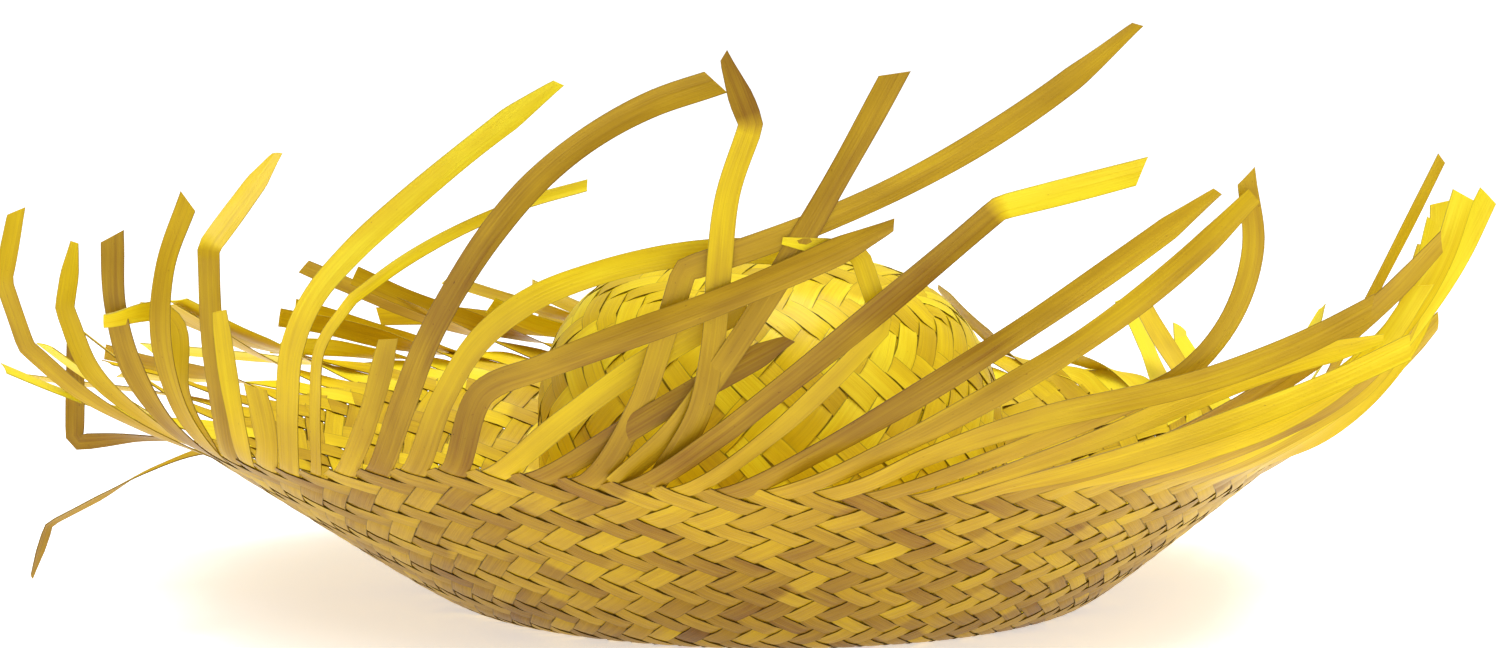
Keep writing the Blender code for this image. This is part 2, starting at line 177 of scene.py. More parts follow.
@dataclass(frozen=True)
class HatForm:
    """The hat's own surfaces, from the sizes of its solids."""

    wall: float = 0.002
    head_x: float = 0.0184
    rim_x: float = 0.0054
    hat_y: float = -0.0250
    head_radius: float = 0.0905
    crown_top: float = 0.137
    crown_bulge: float = 0.0015
    shoulder_height: float = 0.040
    crown_roundness: float = 3.0
    top_lean: float = -0.006
    top_squareness: float = 0.0028
    dent_depth: float = 0.004
    dent_rise: float = 0.21
    bulge_reach: float = 0.71
    crown_foot: float = 0.0023
    flat_radius: float = 0.122
    rim_radius: float = 0.222
    rim_height: float = 0.072
    foot_rounding: float = 0.011

    def slope_length(self) -> float:
        """The length of the brim's slope, from the flat ring's edge to the rim."""
        return math.hypot(self.rim_radius - self.flat_radius, self.rim_height)

    def brim_point(self, share: float, bearing: float) -> Vector:
        """Finds a point of the brim's underside.

        Args:
            share: 0 at the flat ring's edge, 1 at the rim, and -1 at the head opening.
            bearing: The bearing in degrees.

        Returns:
            The point.
        """
        angle = math.radians(bearing)
        if share < 0:
            radius = self.flat_radius + (self.flat_radius - self.head_radius) * share
            height, across = 0.0, self.head_x
        else:
            reach = self.rim_radius * round_the_hat(RIM, bearing, 2)
            radius = self.flat_radius + (reach - self.flat_radius) * share
            start = self.foot_rounding / (self.rim_radius - self.flat_radius)
            bend = (math.hypot(share, start) - start) / (math.hypot(1, start) - start)
            height = self.rim_height * round_the_hat(RIM, bearing, 1) * bend
            across = self.head_x + (self.rim_x - self.head_x) * share
        x = across + radius * math.cos(angle)
        y = self.hat_y + radius * math.sin(angle)
        return Vector((x, y, height))

    def dent(self, bearing: float, height: float) -> float:
        """Finds how far the crown's side lies inside its plain round form.

        Args:
            bearing: The bearing in degrees.
            height: The height on the crown.

        Returns:
            The depth, below zero where the side swells out.
        """
        depth = 0.0
        for at, level, spread, share in DENTS:
            apart = (bearing - at + 180) % 360 - 180
            rise = (height / self.crown_top - level) / self.dent_rise
            fall = math.exp(-((apart / spread) ** 2) - rise**2)
            depth += self.dent_depth * share * fall
        return depth

    def crown_profile(self) -> tuple[np.ndarray, np.ndarray, np.ndarray]:
        """The crown's outline from the apex to the foot.

        Returns:
            The lengths along the outline, the radii and the heights.
        """
        side = self.head_radius + self.wall
        angles = np.linspace(0, math.pi / 2, 91)
        power = 2 / self.crown_roundness
        radii = side * np.sin(angles) ** power
        rise = self.crown_top - self.shoulder_height
        heights = self.shoulder_height + rise * np.clip(np.cos(angles), 0, 1) ** power
        radii = np.append(radii, side)
        heights = np.append(heights, self.crown_foot)
        steps = np.hypot(np.diff(radii), np.diff(heights))
        return np.append(0, np.cumsum(steps)), radii, heights

    def crown_point(self, arc: float, bearing: float) -> Vector:
        """Finds a point of the crown's outer surface.

        Args:
            arc: The way down from the apex along the surface.
            bearing: The bearing in degrees.

        Returns:
            The point.
        """
        lengths, radii, heights = CROWN_OUTLINE
        radius = float(np.interp(arc, lengths, radii))
        z = float(np.interp(arc, lengths, heights))
        side = self.head_radius + self.wall
        level = (z - self.crown_foot) / (self.crown_top - self.crown_foot)
        square = self.top_squareness * level**3 * math.cos(math.radians(4 * bearing))
        swell = self.crown_bulge * math.sin(math.pi * min(level / self.bulge_reach, 1))
        near_top = math.sin(math.pi * min(level, 1))
        hollow = self.dent(bearing, z) * min(radius / self.head_radius, 1) * near_top
        radius = radius + (square + swell - hollow) * radius / side
        angle = math.radians(bearing)
        x = self.head_x + self.top_lean * level**2 + radius * math.cos(angle)
        return Vector((x, self.hat_y + radius * math.sin(angle), z))


HAT = HatForm()
CROWN_OUTLINE = HAT.crown_profile()


def linear(hex_colour: str) -> tuple[float, float, float, float]:
    """Turns an sRGB hex colour into linear values.

    Args:
        hex_colour: Six hex digits.

    Returns:
        Red, green, blue and a full alpha.
    """
    channels = [int(hex_colour[i : i + 2], 16) / 255 for i in (0, 2, 4)]
    bent = [c / 12.92 if c <= 0.04045 else ((c + 0.055) / 1.055) ** 2.4 for c in channels]
    return bent[0], bent[1], bent[2], 1.0


def add_node(tree: bpy.types.NodeTree, kind: str, settings: dict, links: dict) -> bpy.types.Node:
    """Adds one shader node with its settings and its links.

    Args:
        tree: The material's node tree.
        kind: The node's type.
        settings: Properties by name, or input values by name or number.
        links: Output sockets by the name or number of the input they feed.

    Returns:
        The new node.
    """
    made = tree.nodes.new(kind)
    for name, value in settings.items():
        if isinstance(name, str) and hasattr(made, name):
            setattr(made, name, value)
        else:
            made.inputs[name].default_value = value
    for name, source in links.items():
        tree.links.new(source, made.inputs[name])
    return made


@dataclass(frozen=True)
class PalmStraw:
    """Dyed palm leaf, split into strips: fibres run along it, and the dye took unevenly.

    The eye sees a satin strip with fine lengthwise lines, paler and darker stretches, thin
    edges darkened with painted shade where the strips meet, and a few brown flecks.
    """

    name: str
    # Real fibres are about 0.15 mm apart, too fine to show, so they are drawn 0.5 mm apart.
    fibre_mm: tuple[float, float] = (0.5, 30.0)
    streak_mm: tuple[float, float] = (1.7, 70.0)
    blotch_mm: tuple[float, float] = (14.0, 44.0)
    fleck_mm: tuple[float, float] = (1.1, 2.4)
    noise_detail: float = 2.0
    noise_roughness: float = 0.55
    # How far fibres, streaks and blotches move the colour along the row of dye colours.
    weights: tuple[float, float, float] = (0.24, 0.26, 0.46)
    # A fleck starts and is full at these heights of its noise, and is this much browner.
    fleck_from: float = 0.70
    fleck_full: float = 0.80
    fleck_depth: float = 0.30
    # Painted shade along the strips' edges, where they meet and dive under each other: where it
    # starts from the strip's middle, and what light it leaves.
    edge_from: float = 0.92
    edge_shade: float = 0.30
    # The leaf's waxy skin gives a low gloss that changes along the strip.
    ior: float = 1.46
    specular: float = 0.3
    roughness: float = 0.40
    roughness_swing: float = 0.20
    ridge_strength: float = 0.45
    ridge_height: float = 0.0003
    streak_ridges: float = 1.2
    # Painted light: the copy for the strips' inner faces is painted this much brighter than
    # their backs, as if the light from above falls on them.
    painted_light_shift: float = 0.0
    colours: tuple[str, ...] = (
        "5C3C08",
        "845A06",
        "A07A0C",
        "BA9412",
        "CEAB0C",
        "E2C206",
        "F0DA20",
    )

    def make(self) -> bpy.types.Material:
        """Builds the straw's material.

        Returns:
            The material, which reads the strips' own UV map and attributes.
        """
        material = bpy.data.materials.new(self.name)
        material.use_nodes = True
        tree = material.node_tree
        add = partial(add_node, tree)
        shader = tree.nodes["Principled BSDF"]
        shader.inputs["IOR"].default_value = self.ior
        shader.inputs["Specular IOR Level"].default_value = self.specular
        place = add("ShaderNodeUVMap", {"uv_map": "UVMap"}, {}).outputs["UV"]
        across = add("ShaderNodeAttribute", {"attribute_name": "across"}, {}).outputs["Fac"]
        shade = add("ShaderNodeAttribute", {"attribute_name": "tone"}, {}).outputs["Fac"]
        cloudy = {"Scale": 1.0, "Detail": self.noise_detail, "Roughness": self.noise_roughness}
        grains = []
        for wide, long in (self.fibre_mm, self.streak_mm, self.blotch_mm, self.fleck_mm):
            size = (1000 / wide, 1000 / long, 1.0)
            spread = add("ShaderNodeMapping", {"Scale": size}, {"Vector": place})
            noise = add("ShaderNodeTexNoise", cloudy, {"Vector": spread.outputs["Vector"]})
            grains.append(noise.outputs["Fac"])
        fibres, streaks, blotches, flecks = grains
        for grain, weight in zip(grains, self.weights):
            sway = {"operation": "MULTIPLY_ADD", 1: weight}
            shade = add("ShaderNodeMath", sway, {0: grain, 2: shade}).outputs["Value"]
        # Evens out the grains' sway, and adds the painted light of the inner faces' copies.
        even = {"operation": "SUBTRACT", 1: sum(self.weights) / 2 - self.painted_light_shift}
        shade = add("ShaderNodeMath", even, {0: shade}).outputs["Value"]
        low, high, depth = self.fleck_from, self.fleck_full, self.fleck_depth
        fleck = {"From Min": low, "From Max": high, "To Max": depth}
        spots = add("ShaderNodeMapRange", fleck, {"Value": flecks}).outputs["Result"]
        shade = add("ShaderNodeMath", {"operation": "SUBTRACT"}, {0: shade, 1: spots})
        ramp = add("ShaderNodeValToRGB", {}, {"Fac": shade.outputs["Value"]})
        stops = ramp.color_ramp.elements
        while len(stops) < len(self.colours):
            stops.new(0.5)
        for index, colour in enumerate(self.colours):
            stops[index].position = index / (len(self.colours) - 1)
            stops[index].color = linear(colour)
        # Painted shade: the colour darkens towards the strip drawn edges, for the shadow where
        # strips meet.
        aside = add("ShaderNodeMath", {"operation": "ABSOLUTE"}, {0: across}).outputs["Value"]
        cut = {"From Min": self.edge_from, "To Min": 1.0, "To Max": self.edge_shade}
        edge = add("ShaderNodeMapRange", cut, {"Value": aside}).outputs["Result"]
        darken = {"data_type": "RGBA", "blend_type": "MULTIPLY", 0: 1.0}
        shaded = add("ShaderNodeMix", darken, {6: ramp.outputs["Color"], 7: edge})
        least = self.roughness - self.roughness_swing / 2
        satin = {"operation": "MULTIPLY_ADD", 1: self.roughness_swing, 2: least}
        gloss = add("ShaderNodeMath", satin, {0: blotches})
        rise = {"operation": "MULTIPLY_ADD", 1: self.streak_ridges}
        ridges = add("ShaderNodeMath", rise, {0: streaks, 2: fibres}).outputs["Value"]
        relief = {"Strength": self.ridge_strength, "Distance": self.ridge_height}
        bump = add("ShaderNodeBump", relief, {"Height": ridges})
        tree.links.new(shaded.outputs[2], shader.inputs["Base Color"])
        tree.links.new(gloss.outputs["Value"], shader.inputs["Roughness"])
        tree.links.new(bump.outputs["Normal"], shader.inputs["Normal"])
        return material


CROWN_STRAW = PalmStraw("yellow_palm_straw_crown")
BRIM_STRAW = PalmStraw("yellow_palm_straw_brim_back")
# The inner faces' copies carry painted light: they are painted brighter than the backs.
BRIM_INSIDE = PalmStraw("yellow_palm_straw_brim_face_painted_light", painted_light_shift=0.24)
# Loose strips show longer stretches of fibre, and their edges aren't shaded by a plait.
LOOSE_STRAW = PalmStraw("yellow_palm_straw_loose_back", fibre_mm=(0.6, 40.0), edge_shade=0.60)
LOOSE_INSIDE = replace(LOOSE_STRAW, name="yellow_palm_straw_loose_face_painted_light", painted_light_shift=0.16)


@dataclass
class StripPath:
    """The middle line that a straw strip follows, its tones and the slant of its end cut."""

    points: np.ndarray
    normals: np.ndarray
    half_widths: np.ndarray
    tones: np.ndarray
    cambers: np.ndarray
    slant: float = 0.0


@dataclass
class StripBench:
    """Cuts flat blanks and lays them along their paths as straw strips."""

    columns: int
    thickness: float
    chance: random.Random
    lowest: float = 0.0
    grain_shift: float = 40.0
    smooth_angle: float = 50.0
    blanks: dict[int, bpy.types.Mesh] = field(default_factory=dict)
    laid: list[bpy.types.Object] = field(default_factory=list)

    def blank(self, rows: int) -> bpy.types.Mesh:
        """Gives a flat grid, modelled once for each length.

        Args:
            rows: The number of rows of points along the strip.

        Returns:
            The grid's mesh, to be copied.
        """
        if rows not in self.blanks:
            bpy.ops.object.select_all(action="DESELECT")
            bpy.ops.mesh.primitive_grid_add(
                x_subdivisions=self.columns, y_subdivisions=rows - 1, size=1
            )
            made = bpy.context.object
            self.blanks[rows] = made.data
            bpy.data.objects.remove(made)
        return self.blanks[rows]

    def lay(self, path: StripPath) -> bpy.types.Object:
        """Lays one strip.

        Args:
            path: The strip's middle line.

        Returns:
            The strip as an open sheet.
        """
        rows = len(path.points)
        mesh = self.blank(rows).copy()
        steps = np.gradient(path.points, axis=0)
        along = steps / np.linalg.norm(steps, axis=1, keepdims=True)
        side = np.cross(along, path.normals)
        side /= np.linalg.norm(side, axis=1, keepdims=True)
        out = np.cross(side, along)
        across = np.linspace(-1, 1, self.columns + 1)
        reach = path.half_widths[:, None] * across[None, :]
        rise = path.cambers[:, None] * (1 - across[None, :] ** 2)
        corners = path.points[:, None, :] + side[:, None, :] * reach[:, :, None]
        corners = corners + out[:, None, :] * rise[:, :, None]
        corners[-1] += along[-1] * (path.slant * reach[-1])[:, None]
        corners[:, :, 2] = np.maximum(corners[:, :, 2], self.lowest)
        mesh.vertices.foreach_set("co", corners.astype(np.float32).ravel())
        run = np.append(0, np.cumsum(np.linalg.norm(np.diff(path.points, axis=0), axis=1)))
        run = run + self.chance.uniform(0, self.grain_shift)
        flat = np.stack([reach, np.repeat(run[:, None], self.columns + 1, axis=1)], axis=2)
        at = np.zeros(len(mesh.loops), np.int32)
        mesh.loops.foreach_get("vertex_index", at)
        layer = mesh.uv_layers["UVMap"]
        layer.data.foreach_set("uv", flat.reshape(-1, 2)[at].astype(np.float32).ravel())
        spread = np.repeat(across[None, :], rows, axis=0)
        tones = np.repeat(path.tones[:, None], self.columns + 1, axis=1)
        for name, values in (("tone", tones), ("across", spread)):
            attribute = mesh.attributes.new(name, "FLOAT", "POINT")
            attribute.data.foreach_set("value", values.astype(np.float32).ravel())
        strip = bpy.data.objects.new("strip", mesh)
        bpy.context.scene.collection.objects.link(strip)
        self.laid.append(strip)
        return strip

    def gather(self, name: str, outside: PalmStraw, inside: PalmStraw) -> bpy.types.Object:
        """Joins the laid strips into one piece and gives them their thickness.

        Args:
            name: The piece's name.
            outside: The straw on the strips' outward faces.
            inside: The straw on their inward faces.

        Returns:
            The finished piece.
        """
        bpy.ops.object.select_all(action="DESELECT")
        for strip in self.laid:
            strip.select_set(True)
        piece = self.laid[0]
        bpy.context.view_layer.objects.active = piece
        bpy.ops.object.join()
        self.laid = []
        piece.name = name
        piece.data.name = name
        piece.data.materials.clear()
        for straw in (outside, inside):
            piece.data.materials.append(straw.make())
        wall = piece.modifiers.new("Straw", "SOLIDIFY")
        wall.material_offset = 1
        wall.thickness = self.thickness
        wall.offset = 0
        bpy.ops.object.modifier_apply(modifier=wall.name)
        bpy.ops.object.shade_smooth_by_angle(angle=math.radians(self.smooth_angle))
        return piece


@dataclass
class Plait:
    """What the crown's and the brim's plaiting share: lift, wander, widths and tones."""

    browns: float
    tone_low: float
    tone_high: float
    change_after: tuple[int, int]
    lift: float = 0.00056
    segments: int = 3
    cover: float = 0.985
    camber: float = 0.00018
    thickness: float = 0.00045
    wander: float = 0.00042
    brown_low: float = 0.22
    brown_high: float = 0.40

    def over(self, lean: Lean, ring: int) -> bool:
        """Whether a strip of this lean lies outside at a ring of crossings."""
        return (ring % 4 in (1, 2)) == (lean is Lean.RIGHTWARD)

    def tone(self, chance: random.Random) -> float:
        """Picks the tone of one length of straw.

        Args:
            chance: The source of the choice.

        Returns:
            A brown or a yellow tone.
        """
        if chance.random() < self.browns:
            return chance.uniform(self.brown_low, self.brown_high)
        return chance.uniform(self.tone_low, self.tone_high)

    def strip_tones(self, nodes: int, chance: random.Random) -> list[float]:
        """Gives a strip its tones: new lengths of straw come in along it.

        Args:
            nodes: The number of crossings along the strip.
            chance: The source of the choices.

        Returns:
            The tone at each crossing.
        """
        tones: list[float] = []
        while len(tones) < nodes:
            tones += [self.tone(chance)] * chance.randint(*self.change_after)
        return tones[:nodes]

    def strip(self, steps: list[tuple], sides: list[int], chance: random.Random) -> StripPath:
        """Bends one strip over and under the others.

        Args:
            steps: A point of the wall's middle, its normal, the way ahead and the point beside
                it on the next strip, for each step.
            sides: At each crossing 1 where the strip lies outside and -1 where it lies inside.
            chance: The source of its tones and its wander.

        Returns:
            The strip's path, cut straight.
        """
        tones = self.strip_tones(len(sides), chance)
        shift = [chance.uniform(-self.wander, self.wander) for _ in sides]
        points, normals, halves, shades = [], [], [], []
        for index, (point, normal, along, beside) in enumerate(steps):
            node, part = divmod(index, self.segments)
            share = eased(part / self.segments)
            gap = beside - point
            gap -= along * gap.dot(along)
            height = sides[node] + (sides[node + 1] - sides[node]) * share
            sideways = shift[node] + (shift[node + 1] - shift[node]) * share
            points.append(point + normal * height * self.lift + gap.normalized() * sideways)
            normals.append(normal)
            halves.append(gap.length * self.cover / 2)
            shades.append(tones[node])
        rows = (np.array(column) for column in (points, normals, halves, shades))
        return StripPath(*rows, np.full(len(points), self.camber))


@dataclass
class BrimPlait(Plait):
    """The brim: rings of crossings from the head opening over the flat ring to the rim."""

    strips: int = 80
    first_bearing: float = -0.6
    flat_rings: int = 6
    slope_rings: int = 24
    # Rings short of the rim at which the strips of each lean end.
    right_short: float = 8 / 3
    left_short: float = 4 / 3
    root_drop: float = 0.006
    plait_angle: float = 31.0
    browns: float = 0.13
    tone_low: float = 0.29
    tone_high: float = 0.60
    change_after: tuple[int, int] = (4, 14)

    def share(self, ring: float) -> float:
        """The brim's share at a ring: -1 at the opening, 0 at the slope's foot, 1 at the rim."""
        past = ring - self.flat_rings
        return past / (self.flat_rings if past < 0 else self.slope_rings)

    def root_ring(self) -> float:
        """The ring at which the loose strips leave the plait."""
        root = 1 - self.root_drop / HAT.slope_length()
        return self.flat_rings + root * self.slope_rings

    def bearing(self, place: float, ring: float, lean: Lean) -> float:
        """The bearing at which the strip of a place crosses a ring.

        The crossings lie at whole rings.

        Args:
            place: Which strip, counted round the rim.
            ring: The ring.
            lean: The way the strip leans.

        Returns:
            The bearing in degrees.
        """
        step = 360 / self.strips
        start = self.first_bearing + place * step
        root = self.root_ring()
        if lean is Lean.LEFTWARD:
            root = 2 * round(root) - root
        return start + lean.value * (ring - root) * step / 2

    def height(self, lean: Lean, ring: float) -> float:
        """Finds how far outside the wall's middle a strip lies, eased between crossings.

        Args:
            lean: The way the strip leans.
            ring: The ring, whole or between two.

        Returns:
            The height, below zero inside the wall's middle.
        """
        low = math.floor(ring + 1e-6)
        ends = [1 if self.over(lean, node) else -1 for node in (low, low + 1)]
        return self.lift * (ends[0] + (ends[1] - ends[0]) * eased(ring - low))

    def spot(self, ring: float, bearing: float) -> tuple[Vector, Vector]:
        """Finds the middle of the brim's wall.

        Args:
            ring: The ring, whole or between two.
            bearing: The bearing in degrees.

        Returns:
            The point and its outward normal.
        """
        step = 0.02
        here = HAT.brim_point(self.share(ring), bearing)
        around = HAT.brim_point(self.share(ring), bearing + step) - here
        up = HAT.brim_point(self.share(ring + step), bearing) - here
        normal = around.cross(up).normalized()
        return here - normal * HAT.wall / 2, normal

    def path(self, place: int, lean: Lean, last: float, chance: random.Random) -> StripPath:
        """Works out one plaited strip.

        Args:
            place: Which strip, counted round the rim.
            lean: The way it leans.
            last: The ring at which it ends.
            chance: The source of its small irregularities.

        Returns:
            The strip's path.
        """
        ahead = 0.05
        count = int(round(last * self.segments))
        steps = []
        for index in range(count + 1):
            ring = index / self.segments
            bearing = self.bearing(place, ring, lean)
            point, normal = self.spot(ring, bearing)
            beside, _ = self.spot(ring, bearing + 360 / self.strips)
            after, _ = self.spot(ring + ahead, bearing + lean.value * ahead * 180 / self.strips)
            steps.append((point, normal, (after - point).normalized(), beside))
        nodes = range(count // self.segments + 2)
        path = self.strip(steps, [1 if self.over(lean, node) else -1 for node in nodes], chance)
        if lean is Lean.LEFTWARD:
            path.slant = -1 / math.tan(math.radians(2 * self.plait_angle))
        return path

    def build(self, lean: Lean, name: str, chance: random.Random) -> bpy.types.Object:
        """Plaits all the brim's strips of one lean.

        Args:
            lean: The way they lean.
            name: The piece's name.
            chance: The source of their irregularities.

        Returns:
            The finished piece.
        """
        bench = StripBench(2, self.thickness, chance)
        rings = self.flat_rings + self.slope_rings
        last = rings - (self.right_short if lean is Lean.RIGHTWARD else self.left_short)
        for place in range(self.strips):
            bench.lay(self.path(place, lean, last, chance))
        return bench.gather(name, BRIM_STRAW, BRIM_INSIDE)


@dataclass
class CrownPlait(Plait):
    """The crown: a square mat on the top, whose strips run on down the sides to the foot."""

    # How far below the crown's foot its strips may reach, into the brim's plait.
    foot_set: float = 0.001
    half_lines: int = 10
    mat_turn: float = 20.0
    mat_arc: float = 0.080
    # From this share of the mat's half width outwards it turns from square to round.
    square_share: float = 0.5
    ring_step: float = 0.0074
    width_window: int = 5
    browns: float = 0.0
    tone_low: float = 0.64
    tone_high: float = 0.94
    change_after: tuple[int, int] = (8, 26)

    def side_rings(self) -> int:
        """The number of rings of crossings from the mat's edge down to the foot."""
        return round((CROWN_OUTLINE[0][-1] - self.mat_arc) / self.ring_step)

    def from_mat(self, x: float, y: float) -> tuple[float, float]:
        """Lays a point of the square mat on the dome.

        Args:
            x: From -1 to 1 across the mat.
            y: From -1 to 1 up the mat.

        Returns:
            The way down from the apex and the bearing.
        """
        most = max(abs(x), abs(y))
        if most < 1e-6:
            return 0.0, 0.0
        u = x * math.sqrt(1 - y * y / 2)
        v = y * math.sqrt(1 - x * x / 2)
        if abs(x) >= abs(y):
            turn = math.radians(45 * y / x) + (math.pi if x < 0 else 0)
        else:
            turn = math.radians(90 - 45 * x / y) + (math.pi if y < 0 else 0)
        past = (most - self.square_share) / (1 - self.square_share)
        share = eased(min(max(past, 0), 1))
        u = u * (1 - share) + most * math.cos(turn) * share
        v = v * (1 - share) + most * math.sin(turn) * share
        return self.mat_arc * math.hypot(u, v), math.degrees(math.atan2(v, u))

    def from_side(self, ring: float, bearing: float) -> tuple[float, float]:
        """Places a point of the crown's side.

        Args:
            ring: The ring, counted from the middle of the mat.
            bearing: The bearing in degrees.

        Returns:
            The way down from the apex and the bearing.
        """
        last = self.side_rings()
        span = CROWN_OUTLINE[0][-1] - self.mat_arc
        return self.mat_arc + span * (ring - self.half_lines) / last, bearing

    def spot(self, place: tuple[float, float], mirror: bool, turn: float) -> tuple[Vector, Vector]:
        """Finds the middle of the crown's wall.

        Args:
            place: The way down from the apex and the bearing.
            mirror: Whether the strip is laid mirrored.
            turn: How far it is turned round the crown, in degrees.

        Returns:
            The point and its outward normal.
        """
        arc, bearing = place
        bearing = (-bearing if mirror else bearing) + turn + self.mat_turn
        side, drop, least_arc = 0.5, 0.0004, 0.0005
        arc = max(arc, least_arc)
        here = HAT.crown_point(arc, bearing)
        around = HAT.crown_point(arc, bearing + side) - HAT.crown_point(arc, bearing - side)
        down = HAT.crown_point(arc + drop, bearing) - HAT.crown_point(arc - drop, bearing)
        normal = down.cross(around).normalized()
        return here - normal * HAT.wall / 2, normal

    def route(self, line: float) -> list[tuple[tuple, tuple, Lean, float]]:
        """Lists a strip's places: up one side, over the mat along a slanting line, and down.

        Args:
            line: How far the strip's line on the mat lies from the middle, x + y.

        Returns:
            For each step its place, the place beside it, its lean there and its ring.
        """
        tenth = 1 / self.half_lines
        count = self.side_rings()
        step = 180 / (4 * self.half_lines)
        spacing = 2 * step
        up_bearing = 90 - 45 * (line - 1)
        down_bearing = 45 * (line - 1)
        stops = []
        for i in range(count * self.segments, 0, -1):
            ring = self.half_lines + i / self.segments
            bearing = up_bearing + (ring - self.half_lines) * step
            here = self.from_side(ring, bearing)
            beside = self.from_side(ring, bearing - spacing)
            stops.append((here, beside, Lean.RIGHTWARD, ring))
        nodes = round((2 - line) / tenth)
        for i in range(nodes * self.segments + 1):
            x = line - 1 + i / self.segments * tenth
            y = line - x
            here = self.from_mat(x, y)
            beside = self.from_mat(x - tenth, y - tenth)
            lean = Lean.LEFTWARD if abs(x) > abs(y) else Lean.RIGHTWARD
            stops.append((here, beside, lean, max(abs(x), abs(y)) / tenth))
        for i in range(1, count * self.segments + 1):
            ring = self.half_lines + i / self.segments
            bearing = down_bearing - (ring - self.half_lines) * step
            here = self.from_side(ring, bearing)
            beside = self.from_side(ring, bearing + spacing)
            stops.append((here, beside, Lean.LEFTWARD, ring))
        return stops

    def path(self, line: float, mirror: bool, turn: float, chance: random.Random) -> StripPath:
        """Works out one strip of the crown.

        Args:
            line: How far its line on the mat lies from the middle.
            mirror: Whether it is laid mirrored.
            turn: How far it is turned round the crown, in degrees.
            chance: The source of its irregularities.

        Returns:
            The strip's path.
        """
        stops = self.route(line)
        crossings = stops[:: self.segments]
        sides = []
        for _, _, lean, ring in crossings:
            if mirror:
                lean = Lean(-lean.value)
            sides.append(1 if self.over(lean, round(ring)) else -1)
        sides.append(sides[-1])
        steps = []
        for index, (here, beside, _, _) in enumerate(stops):
            point, normal = self.spot(here, mirror, turn)
            other, _ = self.spot(beside, mirror, turn)
            last = stops[max(index - 1, 0)][0]
            after = stops[min(index + 1, len(stops) - 1)][0]
            along = self.spot(after, mirror, turn)[0] - self.spot(last, mirror, turn)[0]
            steps.append((point, normal, along.normalized(), other))
        path = self.strip(steps, sides, chance)
        # Where the mat turns into the side the widths would jump, so they are evened out.
        window = np.full(self.width_window, 1 / self.width_window)
        padded = np.pad(path.half_widths, self.width_window // 2, mode="edge")
        path.half_widths = np.convolve(padded, window, mode="valid")
        return path

    def build(self, name: str, chance: random.Random) -> bpy.types.Object:
        """Plaits the whole crown.

        Args:
            name: The piece's name.
            chance: The source of the strips' irregularities.

        Returns:
            The finished piece.
        """
        bench = StripBench(2, self.thickness, chance, HAT.crown_foot - self.foot_set)
        for number in range(self.half_lines):
            line = (2 * number + 1) / self.half_lines
            for mirror in (False, True):
                for turn in (0, 180):
                    bench.lay(self.path(line, mirror, turn, chance))
        return bench.gather(name, CROWN_STRAW, CROWN_STRAW)


